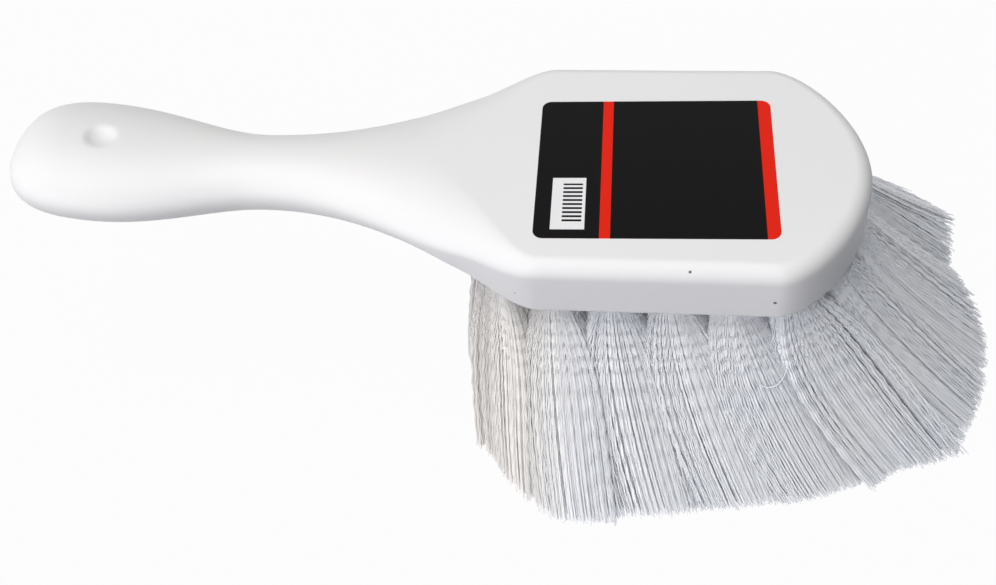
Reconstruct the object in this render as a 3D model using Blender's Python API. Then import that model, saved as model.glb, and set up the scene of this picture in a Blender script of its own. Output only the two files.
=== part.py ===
"""Hand-held utility brush: a one-piece moulded block and handle, set with tufts of nylon filament.

Metres, +Z up. The tips of the bristles stand on z = 0, the head points along +X and the
handle along -X. While it is being built, x = 0 is the tip of the nose; at the end a parent
empty moves the origin to the middle of the whole brush.
"""

import math

import bmesh
import bpy
from mathutils import Matrix, Vector

# Driving dimensions of the block
overall_length = 0.2286
head_width = 0.0762
head_thickness = 0.0168
neck_width = 0.0236
neck_thickness = 0.0160
palm_width = 0.0408
palm_thickness = 0.0195

# Stations of the block, as distances back from the tip of the nose
side_front = 0.0244
side_back = 0.0828
shoulder_middle = 0.1037
neck_station = 0.1588
palm_station = 0.2048

# Edges and shape of the block
shoulder_width = 0.0578
neck_rise = 0.0012
butt_rise = 0.0081
top_edge_radius = 0.0045
bottom_edge_radius = 0.0020
rounding_start = 0.0820
rounding_end = 0.1200
butt_radius = 0.0160
nose_radius = 0.0385
dimple_width = 0.0084
dimple_depth = 0.0014
dimple_setback = 0.0270
shoulder_slope_share = 0.38
nose_handle_shares = (0.50, 0.36)
shoulder_handle_shares = (0.33, 0.39)
waist_handle_shares = (0.27, 0.46)
palm_handle_shares = (0.30, 0.42)
butt_handle_shares = (0.64, 0.74)
slit_share = 0.015

# Bristles
trim_length = 0.0508
tuft_pitch = 0.0147
row_pitch = 0.0148
tuft_inset = 0.0090
bore_diameter = 0.0065
bore_depth = 0.0110
fit_gap = 0.0003
tuft_stand = 0.0008
fan_station = 0.0930
flare_along_share = 1.47
flare_nose_share = 1.42
flare_shoulder_share = 2.00
drill_share = 0.60
core_share = 0.58
taper_share = 0.85
bend_share = 0.50
fill_share = 1.0

# Anchors, each a flat wire strip across a tuft's fold
anchor_thickness = 0.0005
anchor_height = 0.0018
anchor_floor = 0.0012

# Label
label_length = 0.0603
label_width = 0.0499
label_thickness = 0.0002
label_corner = 0.0025
label_station = 0.0546
label_offset = 0.0025
label_turn = math.radians(1.4)

# Counts
bore_sides = 12
plug_sides = 8
ring_tufts = 7
centre_tufts = 6
inner_tufts = 4
edge_steps = 5
corner_steps = 5
curve_steps = (12, 5, 7, 8, 9, 12)
path_fineness = 6

# One overrun serves every cut
cut_overrun = 0.0010

underside = trim_length
top = trim_length + head_thickness
bore_radius = bore_diameter / 2
bore_wall = bore_radius * math.cos(math.pi / bore_sides)
plug_radius = bore_wall - fit_gap
ring_half_width = head_width / 2 - tuft_inset


def clear_scene():
    for obj in list(bpy.data.objects):
        bpy.data.objects.remove(obj, do_unlink=True)


def make_material(name, colour, roughness, metallic):
    material = bpy.data.materials.new(name)
    material.use_nodes = True
    shader = material.node_tree.nodes["Principled BSDF"]
    shader.inputs["Base Color"].default_value = (*colour, 1)
    shader.inputs["Roughness"].default_value = roughness
    shader.inputs["Metallic"].default_value = metallic
    material.diffuse_color = (*colour, 1)
    return material


def add_object(name, mesh, material, parent, place=(0, 0, 0)):
    obj = bpy.data.objects.new(name, mesh)
    bpy.context.scene.collection.objects.link(obj)
    obj.location = place
    obj.parent = parent
    if material:
        mesh.materials.append(material)
    return obj


def add_cutter(name, mesh, parent, place=(0, 0, 0)):
    cutter = add_object(name, mesh, None, parent, place)
    cutter.hide_render = True
    cutter.display_type = "WIRE"
    return cutter


def cut(obj, cutter):
    boolean = obj.modifiers.new("Cut", "BOOLEAN")
    boolean.operation = "DIFFERENCE"
    boolean.solver = "EXACT"
    boolean.object = cutter


def mesh_from(bm, name):
    """The finished mesh of a bmesh, with its faces turned outwards."""
    bmesh.ops.recalc_face_normals(bm, faces=bm.faces)
    mesh = bpy.data.meshes.new(name)
    bm.to_mesh(mesh)
    bm.free()
    return mesh


def ease(share):
    """A share of a way, eased at both ends."""
    share = min(max(share, 0), 1)
    return share * share * (3 - 2 * share)


def bezier(start, start_handle, end_handle, end, steps):
    """Points along one cubic curve, without its first."""
    points = []
    for step in range(1, steps + 1):
        t = step / steps
        u = 1 - t
        points.append(
            u**3 * Vector(start)
            + 3 * u * u * t * Vector(start_handle)
            + 3 * u * t * t * Vector(end_handle)
            + t**3 * Vector(end)
        )
    return points


def half_outline(fineness=1):
    """The plan of one side of the block, from the nose to the butt, as (x, half width)."""
    half_head = head_width / 2
    half_shoulder = shoulder_width / 2
    half_neck = neck_width / 2
    half_palm = palm_width / 2
    nose_run = side_front
    shoulder_run = shoulder_middle - side_back
    waist_run = neck_station - shoulder_middle
    palm_run = palm_station - neck_station
    butt_run = overall_length - palm_station
    along_shoulder = Vector((1, shoulder_slope_share)).normalized()
    nose = Vector((0, 0))
    front = Vector((-side_front, half_head))
    back = Vector((-side_back, half_head))
    shoulder = Vector((-shoulder_middle, half_shoulder))
    neck = Vector((-neck_station, half_neck))
    palm = Vector((-palm_station, half_palm))
    butt = Vector((-overall_length, 0))
    forward = Vector((1, 0))
    across = Vector((0, 1))
    arcs = (
        (
            nose,
            nose + across * nose_handle_shares[0] * half_head,
            front + forward * nose_handle_shares[1] * nose_run,
            front,
        ),
        (front, front.lerp(back, 1 / 3), back.lerp(front, 1 / 3), back),
        (
            back,
            back - forward * shoulder_handle_shares[0] * shoulder_run,
            shoulder + along_shoulder * shoulder_handle_shares[1] * shoulder_run,
            shoulder,
        ),
        (
            shoulder,
            shoulder - along_shoulder * waist_handle_shares[0] * waist_run,
            neck + forward * waist_handle_shares[1] * waist_run,
            neck,
        ),
        (
            neck,
            neck - forward * palm_handle_shares[0] * palm_run,
            palm + forward * palm_handle_shares[1] * palm_run,
            palm,
        ),
        (
            palm,
            palm - forward * butt_handle_shares[0] * butt_run,
            butt + across * butt_handle_shares[1] * half_palm,
            butt,
        ),
    )
    points = [nose]
    for arc, steps in zip(arcs, curve_steps):
        points += bezier(*arc, steps * fineness)
    return points


def thickness_at(x):
    """The block's thickness there: the head's, then the neck's, then the palm's."""
    to_neck = ease((-x - side_back) / (neck_station - side_back))
    to_palm = ease((-x - neck_station) / (palm_station - neck_station))
    thickness = head_thickness + (neck_thickness - head_thickness) * to_neck
    return thickness + (palm_thickness - neck_thickness) * to_palm


def top_at(x):
    """The height of the block's upper line: level over the head, and rising along the handle."""
    to_neck = ease((-x - side_back) / (neck_station - side_back))
    to_butt = ease((-x - neck_station) / (overall_length - neck_station))
    return top + neck_rise * to_neck + (butt_rise - neck_rise) * to_butt


def edge_ring(outline, angle, upper):
    """One line round the block's edge: angle 0 is its widest, a right angle its flat face."""
    ring = []
    for x, half_width in outline:
        spine_x = min(max(x, butt_radius - overall_length), -nose_radius)
        inward = Vector((spine_x - x, -half_width))
        reach = inward.length * (1 - slit_share)
        inward.normalize()
        roundness = ease((-x - rounding_start) / (rounding_end - rounding_start))
        half_thickness = thickness_at(x) / 2
        radius = top_edge_radius if upper else bottom_edge_radius
        run = radius + (reach - radius) * roundness
        rise = radius + (half_thickness - radius) * roundness
        inset = min(run, reach) * (1 - math.cos(angle))
        height = half_thickness - rise + rise * math.sin(angle)
        if not upper:
            height = -height
        x += inward.x * inset
        z = top_at(x) - half_thickness + height
        ring.append(Vector((x, half_width + inward.y * inset, z)))
    return ring


def block_mesh():
    """The block lofted through the rings of its edge, and closed with a ladder of faces above and below."""
    outline = half_outline()
    angles = [math.pi / 2 * step / edge_steps for step in range(edge_steps + 1)]
    rings = [edge_ring(outline, angle, True) for angle in reversed(angles)]
    rings += [edge_ring(outline, angle, False) for angle in angles]
    bm = bmesh.new()
    loops = []
    for ring in rings:
        left = [bm.verts.new(point) for point in ring]
        right = [bm.verts.new((point.x, -point.y, point.z)) for point in ring[1:-1]]
        loops.append(left + right[::-1])
    count = len(loops[0])
    for upper, lower in zip(loops, loops[1:]):
        for i in range(count):
            j = (i + 1) % count
            bm.faces.new((upper[i], lower[i], lower[j], upper[j]))
    for loop in (loops[0], loops[-1]):
        for i in range(len(outline) - 1):
            rung = [loop[i], loop[i + 1], loop[-i - 1], loop[-i]]
            bm.faces.new(dict.fromkeys(rung))
    return mesh_from(bm, "block")


def inset_path():
    """One side of the line on which the outer tufts stand, from the nose backwards."""
    outline = half_outline(path_fineness)
    path = [Vector((-tuft_inset, 0))]
    for before, point, after in zip(outline, outline[1:], outline[2:]):
        along = (after - before).normalized()
        path.append(point + Vector((-along.y, along.x)) * tuft_inset)
    return path


def walk(path, pitch, count):
    """Places along a path, each one pitch from the one before."""
    places = [path[0]]
    for start, end in zip(path, path[1:]):
        last = places[-1]
        near, far = (start - last).length, (end - last).length
        if near < pitch <= far:
            places.append(start.lerp(end, (pitch - near) / (far - near)))
        if len(places) > count:
            break
    return places


def tuft_places():
    """Where the tufts leave the head: a ring inside its outline, and three staggered rows in the ring."""
    ring = walk(inset_path(), tuft_pitch, ring_tufts)
    places = ring + [Vector((place.x, -place.y)) for place in ring[1:]]
    first_x = -tuft_inset - row_pitch
    for index in range(centre_tufts):
        places.append(Vector((first_x - index * row_pitch, 0)))
    for side in (1, -1):
        for index in range(inner_tufts):
            x = first_x - (index + 1 / 2) * row_pitch
            places.append(Vector((x, side * ring_half_width / 2)))
    return places


def flared(place):
    """Where a strand that leaves the head at this place ends, on the trimmed face."""
    toward_shoulder = -place.x / fan_station
    across = flare_nose_share + (flare_shoulder_share - flare_nose_share) * toward_shoulder
    return Vector(((place.x + fan_station) * flare_along_share - fan_station, place.y * across))


def drill_axis(place):
    """The way a bore runs, out of the head: part of the way that its tuft flares."""
    lean = (flared(place) - place) * drill_share / trim_length
    return Vector((lean.x, lean.y, -1)).normalized()


def bore_matrix(place):
    """The frame of a bore: its origin at the mouth, +Z down the drill's axis into the air, +Y across the lean."""
    axis = drill_axis(place)
    across = Vector((0, 1, 0))
    across = (across - axis * across.dot(axis)).normalized()
    return Matrix.Translation((place.x, place.y, underside)) @ Matrix(
        (across.cross(axis), across, axis)
    ).transposed().to_4x4()


def plug_cells():
    """The plug's end as triangles, one for each strand: points, then corners counted in them."""
    points = [Vector((0, 0))]
    core_count = plug_sides // 2
    for index in range(core_count):
        angle = 2 * math.pi * index / core_count
        points.append(Vector((math.cos(angle), math.sin(angle))) * core_share * plug_radius)
    for index in range(plug_sides):
        angle = 2 * math.pi * index / plug_sides
        points.append(Vector((math.cos(angle), math.sin(angle))) * plug_radius)
    cells = []
    for index in range(core_count):
        core = 1 + index
        next_core = 1 + (index + 1) % core_count
        rim = 1 + core_count + 2 * index
        after = 1 + core_count + (2 * index + 1) % plug_sides
        before = 1 + core_count + (2 * index - 1) % plug_sides
        cells += [(0, core, next_core), (core, rim, after), (core, before, rim), (core, after, next_core)]
    return points, cells


def tuft_mesh(place, swell):
    """One tuft: a plug that fills its bore, and a straight-cut strand that grows from each cell of its end."""
    frame = bore_matrix(place)
    local = frame.to_3x3()
    axis = local.col[2]
    points, cells = plug_cells()
    origin = Vector((place.x, place.y, underside))
    rim_start = len(points) - plug_sides
    bm = bmesh.new()
    mouth = []
    for point in points:
        start = local.col[0] * point.x + local.col[1] * point.y
        reach = (-tuft_stand - start.z) / axis.z
        mouth.append(bm.verts.new(start + axis * reach))
    root = [
        bm.verts.new(local @ Vector((point.x, point.y, fit_gap - bore_depth)))
        for point in points[rim_start:]
    ]
    bm.faces.new(root)
    for index in range(plug_sides):
        after = (index + 1) % plug_sides
        bm.faces.new((root[index], root[after], mouth[rim_start + after], mouth[rim_start + index]))
    drop = underside - tuft_stand
    for cell in cells:
        corners = [mouth[index] for index in cell]
        centre = sum((corner.co for corner in corners), Vector()) / len(corners)
        spread = (centre - mouth[0].co).to_2d()
        tip = flared(place + spread * swell).to_3d() - origin
        tip.z = -underside
        way = (tip - centre).to_2d()
        previous = corners
        for share in (bend_share, 1):
            along = share * (1 - share) * drill_share + share * share
            middle = centre + (way * along).to_3d() - Vector((0, 0, drop * share))
            size = 1 + (taper_share - 1) * share
            ring = [bm.verts.new(middle + (corner.co - centre) * size) for corner in corners]
            for index in range(len(cell)):
                after = (index + 1) % len(cell)
                bm.faces.new((previous[index], previous[after], ring[after], ring[index]))
            previous = ring
        bm.faces.new(previous)
    return mesh_from(bm, "tuft")


def box_mesh(name, size, frame):
    bm = bmesh.new()
    bmesh.ops.create_cube(bm, size=1, matrix=frame @ Matrix.Diagonal((*size, 1)))
    return mesh_from(bm, name)


def anchor_frame(place):
    """The middle of a tuft's anchor, near the bottom of the bore."""
    depth = bore_depth - anchor_floor - anchor_height / 2 - fit_gap
    return bore_matrix(place) @ Matrix.Translation((0, 0, -depth))


def make_tuft(index, place, swell, materials, parent):
    mouth = (place.x, place.y, underside)
    tuft = add_object(f"tuft_{index:02d}", tuft_mesh(place, swell), materials["nylon"], parent, mouth)
    at_mouth = Matrix.Translation(mouth).inverted()
    frame = at_mouth @ anchor_frame(place)
    slot_size = (
        anchor_thickness + 2 * fit_gap,
        bore_diameter + 2 * cut_overrun,
        anchor_height + 2 * fit_gap,
    )
    cut(tuft, add_cutter(f"slot_cutter_{index:02d}", box_mesh("slot", slot_size, frame), parent, mouth))
    anchor_size = (anchor_thickness, 2 * (bore_wall - fit_gap), anchor_height)
    add_object(f"anchor_{index:02d}", box_mesh("anchor", anchor_size, frame), materials["wire"], parent, mouth)
    return tuft


def bore_cutter_mesh(places):
    """Every bore as one cutter, each a cylinder that overruns the underside."""
    bm = bmesh.new()
    for place in places:
        axis = drill_axis(place)
        overrun = cut_overrun + bore_radius * axis.to_2d().length / -axis.z
        middle = Matrix.Translation((0, 0, (overrun - bore_depth) / 2))
        turn = Matrix.Rotation(math.pi / bore_sides, 4, "Z")
        bmesh.ops.create_cone(
            bm,
            cap_ends=True,
            segments=bore_sides,
            radius1=bore_radius,
            radius2=bore_radius,
            depth=bore_depth + overrun,
            matrix=bore_matrix(place) @ middle @ turn,
        )
    return mesh_from(bm, "bores")


def dimple_cutter_mesh():
    """A ball whose cap is the shallow dish pressed into the top of the palm."""
    half_width = dimple_width / 2
    radius = (half_width**2 + dimple_depth**2) / (2 * dimple_depth)
    x = dimple_setback - overall_length
    place = (x, 0, top_at(x) + radius - dimple_depth)
    bm = bmesh.new()
    bmesh.ops.create_icosphere(bm, subdivisions=4, radius=radius, matrix=Matrix.Translation(place))
    return mesh_from(bm, "dimple")


def make_block(places, material, parent):
    block = add_object("block", block_mesh(), material, parent)
    cut(block, add_cutter("bore_cutter", bore_cutter_mesh(places), parent))
    cut(block, add_cutter("dimple_cutter", dimple_cutter_mesh(), parent))
    block.data.shade_smooth()
    block.data.set_sharp_from_angle(angle=math.radians(40))
    return block


def label_mesh():
    """A thin rectangle with rounded corners."""
    half_length = label_length / 2 - label_corner
    half_width = label_width / 2 - label_corner
    corners = ((half_length, half_width), (-half_length, half_width))
    corners += ((-half_length, -half_width), (half_length, -half_width))
    bm = bmesh.new()
    points = []
    for quarter, (x, y) in enumerate(corners):
        for step in range(corner_steps + 1):
            angle = math.pi / 2 * (quarter + step / corner_steps)
            points.append((x + label_corner * math.cos(angle), y + label_corner * math.sin(angle)))
    face = bm.faces.new([bm.verts.new((x, y, 0)) for x, y in points])
    raised = bmesh.ops.extrude_face_region(bm, geom=[face])["geom"]
    moved = [item for item in raised if isinstance(item, bmesh.types.BMVert)]
    bmesh.ops.translate(bm, verts=moved, vec=(0, 0, label_thickness))
    return mesh_from(bm, "label")


def make_label(material, parent):
    label = add_object("label", label_mesh(), material, parent)
    label.location = (-label_station, -label_offset, top + fit_gap)
    label.rotation_euler.z = label_turn
    return label


def nearest_distance(places):
    return min((a - b).length for i, a in enumerate(places) for b in places[i + 1 :])


def main():
    clear_scene()
    frame = bpy.data.objects.new("brush_frame", None)
    bpy.context.scene.collection.objects.link(frame)
    materials = {
        "block": make_material("white_moulded_plastic", (0.86, 0.87, 0.89), 0.38, 0),
        "nylon": make_material("clear_nylon", (0.72, 0.74, 0.76), 0.30, 0),
        "wire": make_material("galvanised_wire", (0.55, 0.56, 0.58), 0.35, 1),
        "label": make_material("label_film", (0.01, 0.01, 0.01), 0.30, 0),
    }
    places = tuft_places()
    make_block(places, materials["block"], frame)
    make_label(materials["label"], frame)
    swell = fill_share * nearest_distance(places) / 2 / plug_radius
    tufts = [
        make_tuft(index, place, swell, materials, frame)
        for index, place in enumerate(places, start=1)
    ]
    front = max(tuft.location.x + vert.co.x for tuft in tufts for vert in tuft.data.vertices)
    frame.location.x = (overall_length - front) / 2


main()
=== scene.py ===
# Utility brush: a white moulded head and handle in one piece, set with clear crimped bristles.
# Metres, +Z up. The bristle tips stand on z = 0 and the nose of the head points along +X.
import math

import bmesh
import bpy
import numpy as np
from mathutils import Matrix, Vector


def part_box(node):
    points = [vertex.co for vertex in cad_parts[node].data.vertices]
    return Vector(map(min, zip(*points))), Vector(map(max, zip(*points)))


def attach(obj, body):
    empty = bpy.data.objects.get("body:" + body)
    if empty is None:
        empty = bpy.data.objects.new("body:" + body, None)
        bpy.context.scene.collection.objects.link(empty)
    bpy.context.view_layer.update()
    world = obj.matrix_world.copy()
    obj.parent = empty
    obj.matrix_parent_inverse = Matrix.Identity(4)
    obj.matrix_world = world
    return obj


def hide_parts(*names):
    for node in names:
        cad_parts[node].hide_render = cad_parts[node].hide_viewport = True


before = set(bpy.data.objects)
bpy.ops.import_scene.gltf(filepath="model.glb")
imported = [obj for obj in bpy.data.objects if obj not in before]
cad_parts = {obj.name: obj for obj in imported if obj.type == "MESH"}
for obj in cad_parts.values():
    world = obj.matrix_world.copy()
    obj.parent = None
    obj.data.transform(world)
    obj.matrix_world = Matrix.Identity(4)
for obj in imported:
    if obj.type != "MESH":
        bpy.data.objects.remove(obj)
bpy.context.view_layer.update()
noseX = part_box("block")[1].x  # the block's outline is written from the tip of its nose
plainWhite = (1, 1, 1, 1)


# shader maths
class Wire:
    # one socket that takes part in an expression, or only its tree before the first node
    def __init__(self, tree, socket=None):
        self.tree = tree
        self.socket = socket

    def add(self, kind, settings=(), sockets=(), out=0):
        # a node of any kind: its settings first, then the values or links of its sockets
        node = self.tree.nodes.new(kind)
        for name, value in dict(settings).items():
            setattr(node, name, value)
        for name, value in dict(sockets).items():
            if isinstance(value, Wire):
                self.tree.links.new(value.socket, node.inputs[name])
            else:
                node.inputs[name].default_value = value
        return Wire(self.tree, node.outputs[out] if node.outputs else None)

    def maths(self, operation, *values):
        return self.add("ShaderNodeMath", {"operation": operation}, enumerate(values))

    def __add__(self, other):
        return self.maths("ADD", self, other)

    def __radd__(self, other):
        return self.maths("ADD", other, self)

    def __sub__(self, other):
        return self.maths("SUBTRACT", self, other)

    def __rsub__(self, other):
        return self.maths("SUBTRACT", other, self)

    def __mul__(self, other):
        return self.maths("MULTIPLY", self, other)

    def __rmul__(self, other):
        return self.maths("MULTIPLY", other, self)

    def __truediv__(self, other):
        return self.maths("DIVIDE", self, other)

    def __rtruediv__(self, other):
        return self.maths("DIVIDE", other, self)

    def __lt__(self, other):
        return self.maths("LESS_THAN", self, other)

    def __gt__(self, other):
        return self.maths("GREATER_THAN", self, other)

    def vector(self, operation, other, out=0):
        return self.add("ShaderNodeVectorMath", {"operation": operation}, {0: self, 1: other}, out)

    def part(self, axis):
        return self.add("ShaderNodeSeparateXYZ", (), {0: self}, axis)

    def clamped(self, low, high):
        # 0 below low, 1 above high, and eased between
        settings = {"interpolation_type": "SMOOTHSTEP"}
        sockets = {"Value": self, "From Min": low, "From Max": high}
        return self.add("ShaderNodeMapRange", settings, sockets)

    def blend(self, first, second):
        # a colour between two, where this value is the share of the second
        colours = [c if isinstance(c, Wire) else (*c, 1) for c in (first, second)]
        settings = {"data_type": "RGBA"}
        return self.add("ShaderNodeMix", settings, {0: self, 6: colours[0], 7: colours[1]}, 2)

    def noise(self, scale, detail=2.0):
        # self is the place that the pattern is read at
        sockets = {"Vector": self, "Scale": scale, "Detail": detail}
        return self.add("ShaderNodeTexNoise", (), sockets)


def newMaterial(name):
    material = bpy.data.materials.new(name)
    material.use_nodes = True
    material.node_tree.nodes.clear()
    return material, Wire(material.node_tree)


def finishMaterial(start, shader):
    start.add("ShaderNodeOutputMaterial", (), {"Surface": shader})


def placeOn(start):
    # the object's own coordinates, in metres
    return start.add("ShaderNodeTexCoord", (), (), "Object")


def roughnessOf(look, place):
    # an even roughness, and what a fine noise adds to it
    return look["rough"] + look["roughMore"] * place.noise(look["roughScale"])


# small mesh helpers
def addPiece(name, mesh, material, slot, *nodes, at=None):
    piece = bpy.data.objects.new(name, mesh)
    bpy.context.scene.collection.objects.link(piece)
    piece.matrix_world = at or Matrix.Identity(4)
    mesh.materials.append(material)
    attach(piece, "root")
    if nodes:
        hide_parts(*nodes)
    return piece


def meshOf(bm, name):
    bmesh.ops.recalc_face_normals(bm, faces=bm.faces)
    mesh = bpy.data.meshes.new(name)
    bm.to_mesh(mesh)
    bm.free()
    return mesh


def meshFromArrays(name, points, faces):
    # faces: one array of corners for each group of faces with as many corners
    mesh = bpy.data.meshes.new(name)
    corners = np.concatenate([group.ravel() for group in faces])
    counts = np.concatenate([np.full(len(group), group.shape[1]) for group in faces])
    starts = np.concatenate([[0], np.cumsum(counts)[:-1]])
    mesh.vertices.add(len(points))
    mesh.vertices.foreach_set("co", points.astype(np.float32).ravel())
    mesh.loops.add(len(corners))
    mesh.loops.foreach_set("vertex_index", corners.astype(np.int32))
    mesh.polygons.add(len(counts))
    mesh.polygons.foreach_set("loop_start", starts.astype(np.int32))
    mesh.polygons.foreach_set("use_smooth", np.zeros(len(counts), bool))
    mesh.update(calc_edges=True)
    return mesh


def ease(share):
    share = min(max(share, 0), 1)
    return share * share * (3 - 2 * share)


def curve(start, startHandle, endHandle, end, steps):
    points = []
    for step in range(1, steps + 1):
        t = step / steps
        u = 1 - t
        points.append(u**3 * start + 3 * u * u * t * startHandle + 3 * u * t * t * endHandle + t**3 * end)
    return points


# block: the head and the handle in one moulding
block = {
    "length": 0.2286,
    "headWidth": 0.0762,
    "headThickness": 0.0168,
    "shoulderWidth": 0.0578,
    "neckWidth": 0.0236,
    "neckThickness": 0.0160,
    "palmWidth": 0.0408,
    "palmThickness": 0.0195,
    "sideFront": 0.0244,  # this and the next four are measured back from the nose
    "sideBack": 0.0828,
    "shoulderMiddle": 0.1037,
    "neckStation": 0.1588,
    "palmStation": 0.2048,
    "shoulderSlope": 0.38,
    "arcs": {  # each arc of the outline: the shares that its two handles reach, and its steps
        "nose": (0.50, 0.36, 12),
        "side": (1 / 3, 1 / 3, 5),
        "corner": (0.33, 0.39, 7),
        "waist": (0.27, 0.46, 8),
        "neck": (0.30, 0.42, 9),
        "butt": (0.64, 0.74, 12),
    },
    "fineness": 6,  # times those steps
    "neckRise": 0.0012,  # how far the top face lies over the head's there
    "buttRise": 0.0081,
    "topEdge": 0.0045,
    "bottomEdge": 0.0020,
    "edgeSteps": 34,
    "roundingStart": 0.0820,  # between these stations the edges grow into the full round of the handle
    "roundingEnd": 0.1200,
    "noseRadius": 0.0385,  # the edges are drawn in towards a spine that ends this far from the nose
    "buttRadius": 0.0160,  # and this far from the butt
    "slit": 0.015,  # they stop short of it by this share of the way
    "sharpAngle": 35,  # degrees
    "dimpleWidth": 0.0084,
    "dimpleDepth": 0.0014,
    "dimpleSetback": 0.0270,  # from the butt
    "dimpleBlend": 0.0004,
    "dimpleReach": 1.6,  # how far out the dish is looked for, in half widths
}


def halfOutline(b):
    # the plan of one side, from the nose to the butt
    forward, across = Vector((1, 0)), Vector((0, 1))
    slope = Vector((1, b["shoulderSlope"])).normalized()
    nose = Vector((0, 0))
    front = Vector((-b["sideFront"], b["headWidth"] / 2))
    back = Vector((-b["sideBack"], b["headWidth"] / 2))
    shoulder = Vector((-b["shoulderMiddle"], b["shoulderWidth"] / 2))
    neck = Vector((-b["neckStation"], b["neckWidth"] / 2))
    palm = Vector((-b["palmStation"], b["palmWidth"] / 2))
    butt = Vector((-b["length"], 0))
    sideRun, shoulderRun, waistRun = back.x - front.x, shoulder.x - back.x, neck.x - shoulder.x
    palmRun, buttRun = palm.x - neck.x, butt.x - palm.x
    # where each arc starts and ends, with the way and the run of its handle there
    ends = {
        "nose": ((nose, across, front.y), (front, forward, front.x)),
        "side": ((front, forward, sideRun), (back, forward, sideRun)),
        "corner": ((back, forward, shoulderRun), (shoulder, slope, shoulderRun)),
        "waist": ((shoulder, slope, waistRun), (neck, forward, waistRun)),
        "neck": ((neck, forward, palmRun), (palm, forward, palmRun)),
        "butt": ((palm, forward, buttRun), (butt, across, -palm.y)),
    }
    points = [nose]
    for name, ((start, startWay, startRun), (end, endWay, endRun)) in ends.items():
        startShare, endShare, steps = b["arcs"][name]
        startHandle = start + startWay * startShare * startRun
        endHandle = end - endWay * endShare * endRun
        points += curve(start, startHandle, endHandle, end, steps * b["fineness"])
    return points


def thicknessAt(b, x):
    toNeck = ease((-x - b["sideBack"]) / (b["neckStation"] - b["sideBack"]))
    toPalm = ease((-x - b["neckStation"]) / (b["palmStation"] - b["neckStation"]))
    thick = b["headThickness"] + (b["neckThickness"] - b["headThickness"]) * toNeck
    return thick + (b["palmThickness"] - b["neckThickness"]) * toPalm


def topAt(b, x):
    toNeck = ease((-x - b["sideBack"]) / (b["neckStation"] - b["sideBack"]))
    toButt = ease((-x - b["neckStation"]) / (b["length"] - b["neckStation"]))
    return headTop + b["neckRise"] * toNeck + (b["buttRise"] - b["neckRise"]) * toButt


def edgeRing(b, outline, angle, upper):
    # the outline drawn in to one angle of its rounded edge: 0 on the wall, a right angle on the face
    ring = []
    for x, halfWidth in outline:
        spineX = min(max(x, b["buttRadius"] - b["length"]), -b["noseRadius"])
        inward = Vector((spineX - x, -halfWidth))
        reach = inward.length * (1 - b["slit"])
        inward.normalize()
        roundness = ease((-x - b["roundingStart"]) / (b["roundingEnd"] - b["roundingStart"]))
        half = thicknessAt(b, x) / 2
        radius = b["topEdge"] if upper else b["bottomEdge"]
        run = radius + (reach - radius) * roundness
        rise = radius + (half - radius) * roundness
        inset = min(run, reach) * (1 - math.cos(angle))
        height = half - rise + rise * math.sin(angle)
        x += inward.x * inset
        z = topAt(b, x) - half + (height if upper else -height)
        ring.append(Vector((x, halfWidth + inward.y * inset, z)))
    return ring


def dimpled(b, point):
    # the shallow round dish in the top of the palm, blended softly into the surface round it
    half = b["dimpleWidth"] / 2
    radius = (half**2 + b["dimpleDepth"] ** 2) / (2 * b["dimpleDepth"])
    middle = b["dimpleSetback"] - b["length"]
    away = math.hypot(point.x - middle, point.y)
    if away > b["dimpleReach"] * half or point.z < topAt(b, middle) - b["palmThickness"] / 2:
        return point.z
    dish = topAt(b, middle) - b["dimpleDepth"] + radius - math.sqrt(max(radius**2 - away**2, 0))
    blend = b["dimpleBlend"]
    near = max(blend - abs(point.z - dish), 0) / blend
    return min(point.z, dish) - near * near * blend / 4


def makeBlock(b):
    outline = halfOutline(b)
    angles = [math.pi / 2 * step / b["edgeSteps"] for step in range(b["edgeSteps"] + 1)]
    rings = [edgeRing(b, outline, angle, True) for angle in reversed(angles)]
    rings += [edgeRing(b, outline, angle, False) for angle in angles[1:]]
    bm = bmesh.new()
    loops = []
    for ring in rings:
        for point in ring:
            point.z = dimpled(b, point)
        left = [bm.verts.new((p.x + noseX, p.y, p.z)) for p in ring]
        right = [bm.verts.new((p.x + noseX, -p.y, p.z)) for p in ring[1:-1]]
        loops.append(left + right[::-1])
    count = len(loops[0])
    for upper, lower in zip(loops, loops[1:]):
        for i in range(count):
            j = (i + 1) % count
            bm.faces.new((upper[i], lower[i], lower[j], upper[j]))
    # the top and the bottom are strips from side to side, with a triangle at each end
    for loop in (loops[0], loops[-1]):
        for i in range(len(outline) - 1):
            bm.faces.new(dict.fromkeys((loop[i], loop[i + 1], loop[-i - 1], loop[-i])))
    return meshOf(bm, "mouldedBlock")


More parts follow.
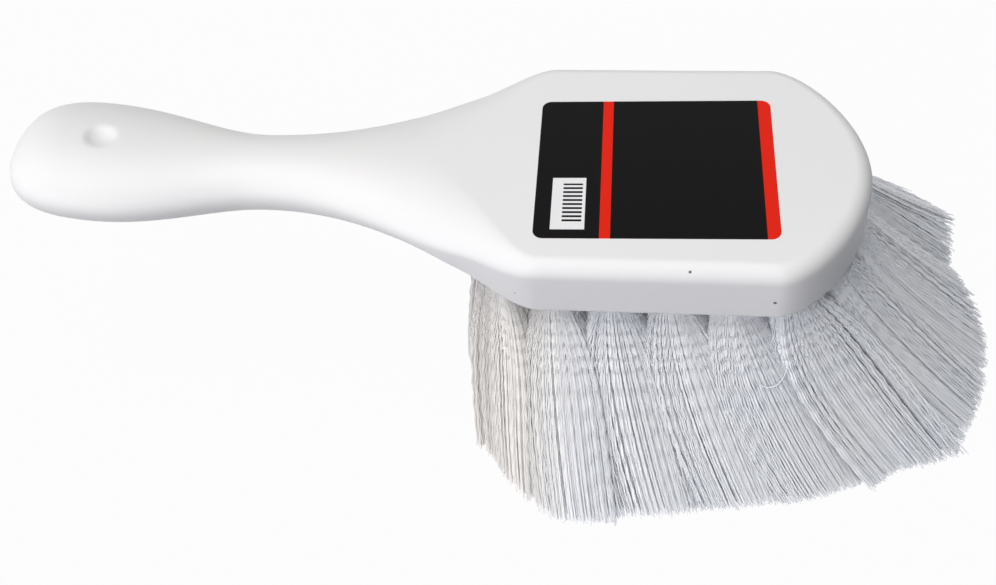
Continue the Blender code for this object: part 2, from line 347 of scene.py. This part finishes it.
# bristles: tufts of single crimped filaments, in bores that lean with them
bristles = {
    "trim": 0.0508,  # from the head's underside to the tips
    "pitch": 0.0147,
    "rowPitch": 0.0148,
    "inset": 0.0090,
    "ringTufts": 7,  # on each side of the one at the nose
    "centreTufts": 6,
    "innerTufts": 4,
    "boreRadius": 0.00325,
    "boreDepth": 0.0110,
    "boreOver": 0.0025,  # how far its cutter stands out of the head
    "boreSides": 28,
    "rootDepth": 0.0082,
    "drillShare": 0.60,  # how far a bore leans, as a share of its tuft
    "fanStation": 0.0930,  # strands that leave the head here lean neither forwards nor back
    "flareAlong": 1.47,
    "flareNose": 1.42,
    "flareShoulder": 2.00,
    "backStation": 0.0745,  # behind this a tuft splays towards the handle
    "ringFilaments": 1095,
    "innerFilaments": 330,
    "filament": 0.00029,
    "tipWidth": 1.4,  # a filament's width at its split tip, as a share of the rest
    "innerShare": 1.25,  # an inner filament's width, as a share of a ring filament's
    "wallGap": 1.5,  # from the middles of the outermost filaments to the bore's wall, in half widths
    "rootScatter": 0.35,  # times the radius, over the square root of the number of filaments
    "core": 0.55,  # inside this share of a ring tuft's radius the filaments are one packed core
    "coreSides": 24,
    "coreShort": 0.0012,  # how far the core ends above the tips
    "fill": 1.0,  # how far a tuft's tips spread before the flare, as a share of half the least pitch
    "sideFill": 1.20,  # and the same along the ring, where the fans run into each other
    "squareness": 0.85,
    "rimBias": 0.65,  # under 1, more of a tuft's tips stand near its rim
    "opening": 1.8,  # over 1, a tuft opens out soon after it leaves its bore
    "sideOpening": 4.0,
    "tipScatter": 0.00025,
    "trimScatter": 0.00025,
    "bow": 0.0001,
    "mouthShare": 0.001,  # the share of its length at which a filament is clear of its bore
    "crimpPitch": 0.0035,
    "crimpDepth": 0.00036,
    "crimpScatter": 0.035,  # the crimps start in step and drift apart down the tuft
    "crimpStart": 0.04,  # the share of the length over which they reach their depth
    "crimpFade": 0.68,  # how much shallower they are at the tips
    "crimpsInStep": 6,  # past these the waves are drawn out
    "crimpStretch": 0.8,
    "mostCrests": 64,
    "firstCrest": (0.3, 0.7),  # where it lies from tuft to tuft, as shares of half a wave
    "firstScatter": 0.06,
    "firstLimits": (0.02, 0.98),
    "depthScatter": 0.15,
    "slack": 1.01,  # a filament's length, as a share of the straight way
    "twist": 0.12,  # scatter of the filaments round their own lines, in radians
    "turnScatter": 0.07,  # and of the ways that their crimps point
    "leanShare": 0.2,  # how far a tube's cross-section follows the lean of its upper end
    "plumb": 0.01,  # and how far it stays level
    "rimMiddle": 0.045,  # the bristles have settled: pushed out or pulled in, by the bearing from here
    "rim": 0.080,
    "bearings": (-150, -138, -124, -116, -76, -40, -28, -10, 18, 28, 41, 62, 120, 142),
    "reaches": (0.94, 0.87, 0.91, 0.97, 0.95, 0.92, 1.02, 0.99, 0.99, 1.13, 1.12, 1.00, 0.96, 0.90),
    # one filament has sprung out and lies in a curl on the near side, both its ends among the others
    "loose": (
        (-0.0200, -0.0395, 0.0340),
        (-0.0205, -0.0422, 0.0294),
        (-0.0245, -0.0441, 0.0283),
        (-0.0273, -0.0418, 0.0302),
    ),
    "looseSteps": 24,
    "seed": 700,
}
headTop = bristles["trim"] + block["headThickness"]


def tuftPlaces(s):
    # the outer ring from the nose back, one side and then the other, and the rows inside it
    outline = halfOutline(block)
    path = [Vector((-s["inset"], 0))]
    for before, point, after in zip(outline, outline[1:], outline[2:]):
        along = (after - before).normalized()
        path.append(point + Vector((-along.y, along.x)) * s["inset"])
    ring = [path[0]]
    for start, end in zip(path, path[1:]):
        near, far = (start - ring[-1]).length, (end - ring[-1]).length
        if near < s["pitch"] <= far:
            ring.append(start.lerp(end, (s["pitch"] - near) / (far - near)))
        if len(ring) > s["ringTufts"]:
            break
    places = ring + [Vector((place.x, -place.y)) for place in ring[1:]]
    firstX = -s["inset"] - s["rowPitch"]
    places += [Vector((firstX - i * s["rowPitch"], 0)) for i in range(s["centreTufts"])]
    rowY = (block["headWidth"] / 2 - s["inset"]) / 2
    for side in (1, -1):
        for i in range(s["innerTufts"]):
            places.append(Vector((firstX - (i + 0.5) * s["rowPitch"], side * rowY)))
    return places


def flared(s, x, y):
    # where a strand that leaves the head at (x, y) ends, on the trimmed face
    across = s["flareNose"] + (s["flareShoulder"] - s["flareNose"]) * -x / s["fanStation"]
    return (x + s["fanStation"]) * s["flareAlong"] - s["fanStation"], y * across


def settled(s, x, y):
    # the same ends once the brush has been used and stood down
    bearing = np.degrees(np.arctan2(y, x + s["rimMiddle"]))
    share = np.interp(bearing, s["bearings"], s["reaches"], period=360) - 1
    share = 1 + share * np.minimum(np.hypot(x + s["rimMiddle"], y) / s["rim"], 1) ** 3
    return (x + s["rimMiddle"]) * share - s["rimMiddle"], y * share


def drillAxis(s, place):
    tip = Vector(flared(s, place.x, place.y))
    lean = (tip - place) * s["drillShare"] / s["trim"]
    return Vector((lean.x, lean.y, -1)).normalized()


def boreCutter(s, places):
    bm = bmesh.new()
    depth, over = s["boreDepth"], s["boreOver"]
    for place in places:
        axis = drillAxis(s, place)
        across = (Vector((0, 1, 0)) - axis * axis.y).normalized()
        turn = Matrix((across.cross(axis), across, axis)).transposed().to_4x4()
        at = Matrix.Translation((place.x + noseX, place.y, s["trim"]))
        bmesh.ops.create_cone(
            bm,
            cap_ends=True,
            segments=s["boreSides"],
            radius1=s["boreRadius"],
            radius2=s["boreRadius"],
            depth=depth + over,
            matrix=at @ turn @ Matrix.Translation((0, 0, (over - depth) / 2)),
        )
    return meshOf(bm, "bores")


def cutBores(piece, s, places):
    cutter = bpy.data.objects.new("boreCutter", boreCutter(s, places))
    bpy.context.scene.collection.objects.link(cutter)
    cut = piece.modifiers.new("bores", "BOOLEAN")
    cut.operation = "DIFFERENCE"
    cut.solver = "EXACT"
    cut.object = cutter
    graph = bpy.context.evaluated_depsgraph_get()
    made = bpy.data.meshes.new_from_object(piece.evaluated_get(graph))
    piece.modifiers.clear()
    piece.data = made
    bpy.data.objects.remove(cutter)
    made.shade_smooth()
    made.set_sharp_from_angle(angle=math.radians(block["sharpAngle"]))


def unit(rows):
    return rows / np.linalg.norm(rows, axis=-1, keepdims=True)


def circle(reach, turn):
    return np.stack([reach * np.cos(turn), reach * np.sin(turn)], axis=1)


def bundled(s, random, filaments, core):
    # where filaments stand in a bore of radius 1: an even spiral round the core, a little disturbed
    number = np.arange(filaments)
    reach = np.sqrt(core**2 + (1 - core**2) * (number + 0.5) / filaments)
    disc = circle(reach, number * math.pi * (3 - math.sqrt(5)))
    disc += random.normal(0, s["rootScatter"] / math.sqrt(filaments), (filaments, 2))
    if not core:
        return disc
    # the last rows are the sides of the core, which has no scatter of its own
    return np.concatenate([disc, circle(core, -2 * math.pi * np.arange(s["coreSides"]) / s["coreSides"])])


def fanned(s, random, disc, single, outwards, sideways, spread):
    # the same places squared and spread out over the tuft's share of the head, before the flare
    u, v = disc @ outwards, disc @ sideways
    square = (np.hypot(u, v) / np.maximum(np.abs(u), np.abs(v))) ** s["squareness"]
    square *= spread * np.hypot(u, v) ** (s["rimBias"] - 1)
    tips = (u * square)[:, None] * outwards * s["fill"] + (v * square)[:, None] * sideways * s["sideFill"]
    return tips + random.normal(0, s["tipScatter"], disc.shape) * single[:, None]


def crestShares(s, random, length, single):
    # how far down each filament its crests lie: nearly in step with its neighbours
    # where the tuft leaves its bore, and out of step towards the tips
    count = len(length)
    half = s["crimpPitch"] / 2 * (1 + random.normal(0, s["crimpScatter"], count) * single)
    first = random.uniform(*s["firstCrest"]) + random.normal(0, s["firstScatter"], count) * single
    first = half * np.clip(first, *s["firstLimits"])
    crest = np.arange(s["mostCrests"])
    shift = crest + s["crimpStretch"] * np.clip(crest - 2 * s["crimpsInStep"], 0, None)
    at = (first[:, None] + shift * half[:, None]) / length[:, None]
    crests = int((at < 1).sum(1).max()) + 1
    return np.minimum(at[:, :crests], 1)


def crimped(s, random, line, free, disc, single):
    # each line bent at its crests, which lie in turn on one side of it and on the other
    tangent = unit(line[:, 2:3] * s["leanShare"] - line[:, :1] + np.array((0, 0, -s["plumb"])))
    outward = np.zeros((len(line), 1, 3))
    outward[:, 0, :2] = disc + random.normal(0, s["turnScatter"], disc.shape) * single[:, None]
    outward = unit(outward - tangent * (outward * tangent).sum(-1, keepdims=True))
    depth = s["crimpDepth"] * np.clip(free / s["crimpStart"], 0, 1) * (1 - s["crimpFade"] * free)
    depth *= 1 + random.normal(0, s["depthScatter"], (len(line), 1)) * single[:, None]
    side = np.zeros(free.shape[1])
    side[2:-1] = np.where(np.arange(len(side) - 3) % 2, 1, -1)
    return line + outward * (side * depth)[:, :, None], tangent, outward


def tubed(s, random, line, free, tangent, outward, radius):
    # a three-sided tube along each line, with one face turned outwards, as packed filaments lie
    other = np.cross(tangent, outward)
    start = math.pi / 3 + random.normal(0, s["twist"], (len(line), 1, 1))
    width = (radius * (1 + (s["tipWidth"] - 1) * free))[:, :, None]
    corners = []
    for corner in range(3):
        angle = start + corner * 2 * math.pi / 3
        corners.append(line + width * (outward * np.cos(angle) + other * np.sin(angle)))
    return np.stack(corners, axis=2)


def wallsOf(grid, around):
    # the four-sided faces of tubes, whose stations lie along the grid's second axis
    after = np.roll(grid, -1, axis=around)
    return np.stack([grid[:, :-1], after[:, :-1], after[:, 1:], grid[:, 1:]], axis=-1)


def makeTuft(s, index, place, spread):
    random = np.random.default_rng(s["seed"] + index)
    onRing = index <= 2 * s["ringTufts"] + 1
    filaments = s["ringFilaments"] if onRing else s["innerFilaments"]
    radius = s["filament"] / 2 * (1 if onRing else s["innerShare"])
    outwards = place - Vector((min(max(place.x, -s["backStation"]), -block["noseRadius"]), 0))
    outwards = np.array(outwards.normalized() if onRing else (1, 0))
    sideways = np.array((-outwards[1], outwards[0]))
    disc = bundled(s, random, filaments, s["core"] if onRing else 0)
    count = len(disc)
    single = (np.arange(count) < filaments).astype(float)  # 1 for a filament, 0 for a side of the core
    root = disc * (s["boreRadius"] - s["wallGap"] * radius)
    tips = fanned(s, random, disc, single, outwards, sideways, spread)
    tips = np.stack(settled(s, *flared(s, place.x + tips[:, 0], place.y + tips[:, 1])), axis=1)
    middle = np.stack(settled(s, *flared(s, place.x, place.y))) - np.array(place)
    way = tips - np.array(place) - root
    short = np.where(single, np.abs(random.normal(0, s["trimScatter"], count)), s["coreShort"])
    drop = s["trim"] - short

    # the line of each filament, without its crimp: its root in the bore, the bore's mouth, its crests
    # and its tip, each at a share t of its length
    length = np.sqrt(drop**2 + (way**2).sum(1)) * s["slack"]
    length = np.where(single, length, length.mean())
    at = crestShares(s, random, length, single)
    rows = np.ones((count, 1))
    t = np.concatenate([-s["rootDepth"] / s["trim"] * rows, s["mouthShare"] * rows, at, rows], axis=1)
    free = np.clip(t, 0, None)
    along = np.where(t < 0, t * s["drillShare"], t * (1 - t) * s["drillShare"] + t * t)
    line = np.empty((*t.shape, 3))
    line[:, :, :2] = root[:, None] + middle * along[:, :, None]
    for direction, opening in ((outwards, s["opening"]), (sideways, s["sideOpening"])):
        opened = 1 - (1 - free) ** (opening if onRing else s["opening"])
        line[:, :, :2] += ((way - middle) @ direction)[:, None, None] * opened[:, :, None] * direction
    line[:, :, 2] = -drop[:, None] * t
    bow = random.normal(0, s["bow"], (count, 1, 2)) * single[:, None, None]
    line[:, :, :2] += bow * np.sin(free * math.pi)[:, :, None]

    line, tangent, outward = crimped(s, random, line, free, disc, single)
    points = tubed(s, random, line, free, tangent, outward, radius)[:filaments]
    points[:, :, :, 2] = np.maximum(points[:, :, :, 2], -drop[:filaments, None, None])
    grid = np.arange(points.size // 3).reshape(points.shape[:3])
    inside = t[:filaments] < 1
    last = inside.sum(1)  # the station that a filament ends at
    caps = np.concatenate([grid[:, 0, ::-1], grid[np.arange(filaments), last]])
    faces = [wallsOf(grid, 2)[inside[:, :-1]].reshape(-1, 4), caps]
    points = points.reshape(-1, 3)
    if onRing:
        steps = int((t[-1] < 1).sum()) + 1
        grid = len(points) + np.arange(s["coreSides"] * steps).reshape(-1, steps)
        faces += [wallsOf(grid, 0).reshape(-1, 4), np.stack([grid[::-1, 0], grid[:, -1]])]
        points = np.concatenate([points, line[filaments:, :steps].reshape(-1, 3)])
    points += np.array([place.x + noseX, place.y, s["trim"]])
    return meshFromArrays("tuft", points, faces)


def makeBristles(s, places, material):
    nearest = min((a - b).length for i, a in enumerate(places) for b in places[i + 1 :])
    tufts = []
    for index, place in enumerate(places, start=1):
        mesh = makeTuft(s, index, place, nearest / 2)
        tufts.append(addPiece(f"filaments_{index:02d}", mesh, material, "bristles", f"tuft_{index:02d}"))
    return tufts


def makeLooseStrand(s, material):
    line = bpy.data.curves.new("looseFilament", "CURVE")
    line.dimensions = "3D"
    line.bevel_depth = s["filament"] / 2
    line.bevel_resolution = 1
    line.use_fill_caps = True
    handles = [Vector(point) + Vector((noseX, 0, 0)) for point in s["loose"]]
    points = handles[:1] + curve(*handles, s["looseSteps"])
    spline = line.splines.new("POLY")
    spline.points.add(len(points) - 1)
    for at, point in zip(spline.points, points):
        at.co = (*point, 1)
    holder = bpy.data.objects.new("looseFilament", line)
    mesh = bpy.data.meshes.new_from_object(holder)
    bpy.data.objects.remove(holder)
    addPiece("looseFilament", mesh, material, "bristles")


# label: a thin film on the flat top of the head
label = {
    "length": 0.0603,
    "width": 0.0499,
    "thickness": 0.00014,
    "corner": 0.0025,
    "cornerSteps": 12,
    "station": 0.0546,  # its middle, back from the nose
    "offset": 0.0025,  # and off the middle line
    "turn": math.radians(1.4),
    "ink": (0.0025, 0.0018, 0.0020),
    "band": (0.80, 0.020, 0.008),
    "panel": (0.88, 0.88, 0.89),
    "firstBand": (0.0164, 0.0191),  # from the edge towards the handle
    "lastBand": 0.0033,
    "panelAlong": (0.0042, 0.0127),
    "panelAcross": (0.0029, 0.0208),
    "barsAlong": (0.0070, 0.0119),
    "barsAcross": (0.0049, 0.0188),
    "barPitch": 0.0014,
    "barShare": 0.5,
    "rough": 0.26,
    "roughMore": 0.10,
    "roughScale": 300,
    "rippleScale": 60,
    "rippleStrength": 0.15,
    "rippleDepth": 0.0002,
    "gloss": 0.08,
}


def makeLabel(shape, material):
    bm = bmesh.new()
    corner, steps = shape["corner"], shape["cornerSteps"]
    halfLength, halfWidth = shape["length"] / 2 - corner, shape["width"] / 2 - corner
    points = []
    for quarter, (x, y) in enumerate(((1, 1), (-1, 1), (-1, -1), (1, -1))):
        for step in range(steps + 1):
            angle = math.pi / 2 * (quarter + step / steps)
            along = x * halfLength + corner * math.cos(angle)
            points.append((along, y * halfWidth + corner * math.sin(angle)))
    low, high = [[bm.verts.new((x, y, z)) for x, y in points] for z in (0, shape["thickness"])]
    bm.faces.new(low[::-1])
    bm.faces.new(high)
    for i in range(len(points)):
        bm.faces.new((low[i - 1], low[i], high[i], high[i - 1]))
    at = Matrix.Translation((noseX - shape["station"], -shape["offset"], headTop))
    at = at @ Matrix.Rotation(shape["turn"], 4, "Z")
    addPiece("labelFilm", meshOf(bm, "labelFilm"), material, "label", "label", at=at)


def between(value, low, high):
    return (value > low) * (value < high)


def labelFilm(shape):
    material, start = newMaterial("printedLabelFilm")
    place = placeOn(start)
    u = place.part(0) + shape["length"] / 2
    v = place.part(1) + shape["width"] / 2
    band = between(u, *shape["firstBand"]) + (u > shape["length"] - shape["lastBand"])
    panel = between(u, *shape["panelAlong"]) * between(v, *shape["panelAcross"])
    row = v / shape["barPitch"]
    printed = row.maths("FRACT", row) < shape["barShare"]
    bars = between(u, *shape["barsAlong"]) * between(v, *shape["barsAcross"]) * printed
    colour = band.blend(shape["ink"], shape["band"])
    colour = panel.blend(colour, shape["panel"])
    colour = bars.blend(colour, shape["ink"])
    bump = start.add("ShaderNodeBump", (), {
        "Strength": shape["rippleStrength"],
        "Distance": shape["rippleDepth"],
        "Height": place.noise(shape["rippleScale"]),
    })
    finishMaterial(start, start.add("ShaderNodeBsdfPrincipled", (), {
        "Base Color": colour,
        "Roughness": roughnessOf(shape, place),
        "Specular IOR Level": shape["gloss"],
        "Normal": bump,
    }))
    return material


# materials
plasticLook = {
    "tint": (0.862, 0.860, 0.860),
    "cloudTint": (0.880, 0.874, 0.864),
    "cloudScale": 22,
    "cloudDetail": 3,
    "cloudEdges": (0.35, 0.70),
    "rough": 0.36,
    "roughMore": 0.12,
    "roughScale": 140,
    "grainScale": 2600,
    "grainStrength": 0.10,
    "grainDepth": 0.0001,
    "ior": 1.49,
    "gloss": 0.25,
    # small dark spots on the moulding: where each lies, from the nose's tip, and its radius
    "specks": (
        (-0.0456, -0.0367, 0.0663, 0.00050),
        (-0.0250, -0.0381, 0.0574, 0.00060),
        (-0.0882, -0.0370, 0.0570, 0.00025),
        (-0.1253, -0.0182, 0.0577, 0.00030),
    ),
    "speckTint": (0.10, 0.09, 0.09),
    "speckCore": 0.4,  # the share of its radius within which a speck is fully dark
}


def mouldedPlastic(look):
    material, start = newMaterial("whiteMouldedPlastic")
    place = placeOn(start)
    cloud = place.noise(look["cloudScale"], look["cloudDetail"])
    tint = cloud.clamped(*look["cloudEdges"]).blend(look["tint"], look["cloudTint"])
    for x, y, z, radius in look["specks"]:
        away = place.vector("DISTANCE", (x + noseX, y, z), 1)
        tint = away.clamped(look["speckCore"] * radius, radius).blend(look["speckTint"], tint)
    bump = start.add("ShaderNodeBump", (), {
        "Strength": look["grainStrength"],
        "Distance": look["grainDepth"],
        "Height": place.noise(look["grainScale"]),
    })
    finishMaterial(start, start.add("ShaderNodeBsdfPrincipled", (), {
        "Base Color": tint,
        "Roughness": roughnessOf(look, place),
        "IOR": look["ior"],
        "Specular IOR Level": look["gloss"],
        "Normal": bump,
    }))
    return material


nylonLook = {
    "tint": (0.955, 0.973, 1.0),
    "cloudTint": (0.98, 0.985, 1.0),
    "cloudScale": 30,
    "cloudEdges": (0.3, 0.7),
    "rearWarmLightTint": (0.985, 0.960, 0.925),  # painted warm light: behind these stations the bristles are tinted warm, standing in for the warm lamp that lights the handle's side
    "rearWarmLightEdges": (0.070, 0.090),
    "rough": 0.24,
    "roughMore": 0.10,
    "roughScale": 400,
    "ior": 1.53,
    "coat": 0.2,
    "coatRough": 0.16,
    "lightPassed": (0.985, 0.99, 1.0),
    "clearShare": 0.42,
}


def nylon(look):
    material, start = newMaterial("clearNylon")
    place = placeOn(start)
    cloud = place.noise(look["cloudScale"]).clamped(*look["cloudEdges"])
    tint = cloud.blend(look["tint"], look["cloudTint"])
    station = noseX - place.part(0)
    # painted warm light: the rear tufts, towards the handle, take a warm tint
    tint = station.clamped(*look["rearWarmLightEdges"]).blend(tint, look["rearWarmLightTint"])
    solid = start.add("ShaderNodeBsdfPrincipled", (), {
        "Base Color": tint,
        "Roughness": roughnessOf(look, place),
        "IOR": look["ior"],
        "Coat Weight": look["coat"],
        "Coat Roughness": look["coatRough"],
    })
    clear = start.add("ShaderNodeBsdfTranslucent", (), {"Color": (*look["lightPassed"], 1)})
    finishMaterial(start, start.add("ShaderNodeMixShader", (), {0: look["clearShare"], 1: solid, 2: clear}))
    return material


wireLook = {
    "tint": (0.42, 0.43, 0.45),
    "cloudTint": (0.62, 0.63, 0.64),
    "cloudScale": 900,
    "rough": 0.35,
    "roughMore": 0.15,
    "roughScale": 500,
}


def galvanised(look):
    material, start = newMaterial("galvanisedWire")
    place = placeOn(start)
    finishMaterial(start, start.add("ShaderNodeBsdfPrincipled", (), {
        "Base Color": place.noise(look["cloudScale"]).blend(look["tint"], look["cloudTint"]),
        "Roughness": roughnessOf(look, place),
        "Metallic": 1.0,
    }))
    return material


# camera: the photographer stood to the left of the head and looked down on it, across the label
cameraSet = {
    "place": (-0.0532, -0.2373, 0.2285),  # from the nose's tip, on the level of the head's top face
    "right": (0.9918, 0.1024, -0.0769),
    "down": (0.0289, -0.7639, -0.6447),
    "focalPixels": 1266.7,
    "pixelsAcross": 996,
    "sensor": 36,
    "clipStart": 0.01,
}


def makeCamera(look):
    data = bpy.data.cameras.new("photoCamera")
    camera = bpy.data.objects.new("photoCamera", data)
    bpy.context.scene.collection.objects.link(camera)
    right = Vector(look["right"]).normalized()
    up = -Vector(look["down"])
    up = (up - right * up.dot(right)).normalized()
    turn = Matrix((right, up, right.cross(up))).transposed()
    place = Vector(look["place"]) + Vector((noseX, 0, headTop))
    camera.matrix_world = Matrix.Translation(place) @ turn.to_4x4()
    data.lens = look["focalPixels"] / look["pixelsAcross"] * look["sensor"]
    data.sensor_width = look["sensor"]
    data.clip_start = look["clipStart"]
    bpy.context.scene.camera = camera


# stage
studio = {
    "lamps": {
        # where each stands, seen from the aim, how far off, how wide and how strong, and its colour
        "key": ((-0.19, -0.06, 0.98), 1.6, 1.4, 21, (1.0, 0.98, 0.955)),
        "side": ((-0.50, -0.84, 0.20), 1.6, 1.6, 16.5, (0.97, 0.965, 1.0)),
        "glint": ((-0.42, -0.66, 0.62), 1.6, 0.3, 2.5, (0.97, 0.965, 1.0)),
    },
    "aim": (0.03, 0, 0.05),
    "sky": (0.55, 0.74, 1.0),
    "skyStrength": 0.06,
    "floor": (0.30, 0.30, 0.32),
    "floorShown": 0.97,  # how much of the floor that the camera sees is plain white, shadow left out
    "floorSize": 4.0,
    "floorLevel": -0.0002,
}


def seenDirectly(start):
    # camera rays, and the rays that gloss, glass and clear filaments send on, see the plain white ground
    path = start.add("ShaderNodeLightPath", (), (), "Is Camera Ray")
    node = path.socket.node
    glossy = Wire(start.tree, node.outputs["Is Glossy Ray"])
    through = Wire(start.tree, node.outputs["Is Transmission Ray"])
    return path.maths("MAXIMUM", path, glossy.maths("MAXIMUM", glossy, through))


def makeFloor(look):
    size, level = look["floorSize"], look["floorLevel"]
    mesh = bpy.data.meshes.new("floor")
    corners = [(x * size, y * size, level) for x, y in ((-1, -1), (1, -1), (1, 1), (-1, 1))]
    mesh.from_pydata(corners, [], [(0, 1, 2, 3)])
    floor = bpy.data.objects.new("floor", mesh)
    bpy.context.scene.collection.objects.link(floor)
    material, start = newMaterial("paleFloor")
    matt = start.add("ShaderNodeBsdfDiffuse", (), {"Color": (*look["floor"], 1)})
    glow = start.add("ShaderNodeEmission", (), {"Color": plainWhite, "Strength": 1.0})
    share = seenDirectly(start) * look["floorShown"]
    finishMaterial(start, start.add("ShaderNodeMixShader", (), {0: share, 1: matt, 2: glow}))
    mesh.materials.append(material)


def makeSky(look):
    world = bpy.data.worlds.new("studio")
    world.use_nodes = True
    world.node_tree.nodes.clear()
    bpy.context.scene.world = world
    start = Wire(world.node_tree)
    sky = start.add("ShaderNodeBackground", (), {"Color": (*look["sky"], 1), "Strength": look["skyStrength"]})
    ground = start.add("ShaderNodeBackground", (), {"Color": plainWhite, "Strength": 1.0})
    shown = start.add("ShaderNodeMixShader", (), {0: seenDirectly(start), 1: sky, 2: ground})
    start.add("ShaderNodeOutputWorld", (), {"Surface": shown})


def makeLamps(look):
    for name, (way, distance, size, power, colour) in look["lamps"].items():
        lamp = bpy.data.lights.new(name, "AREA")
        lamp.shape = "DISK"
        lamp.size = size
        lamp.energy = power
        lamp.color = colour
        light = bpy.data.objects.new(name, lamp)
        bpy.context.scene.collection.objects.link(light)
        way = Vector(way).normalized()
        light.location = Vector(look["aim"]) + way * distance
        light.rotation_euler = way.to_track_quat("Z", "Y").to_euler()


# build
places = tuftPlaces(bristles)
moulding = addPiece("mouldedBlock", makeBlock(block), mouldedPlastic(plasticLook), "block", "block")
cutBores(moulding, bristles, places)
print("block", len(moulding.data.polygons), "faces")
makeLabel(label, labelFilm(label))
print("label")
clearNylon = nylon(nylonLook)
tufts = makeBristles(bristles, places, clearNylon)
makeLooseStrand(bristles, clearNylon)
print("bristles", sum(len(tuft.data.polygons) for tuft in tufts), "faces")
wire = galvanised(wireLook)
for name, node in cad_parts.items():
    if name.startswith("anchor"):
        node.data.materials.clear()
        node.data.materials.append(wire)
print("anchors")
makeCamera(cameraSet)
makeFloor(studio)
makeSky(studio)
makeLamps(studio)
bpy.context.scene.view_settings.view_transform = "Standard"
print("stage")
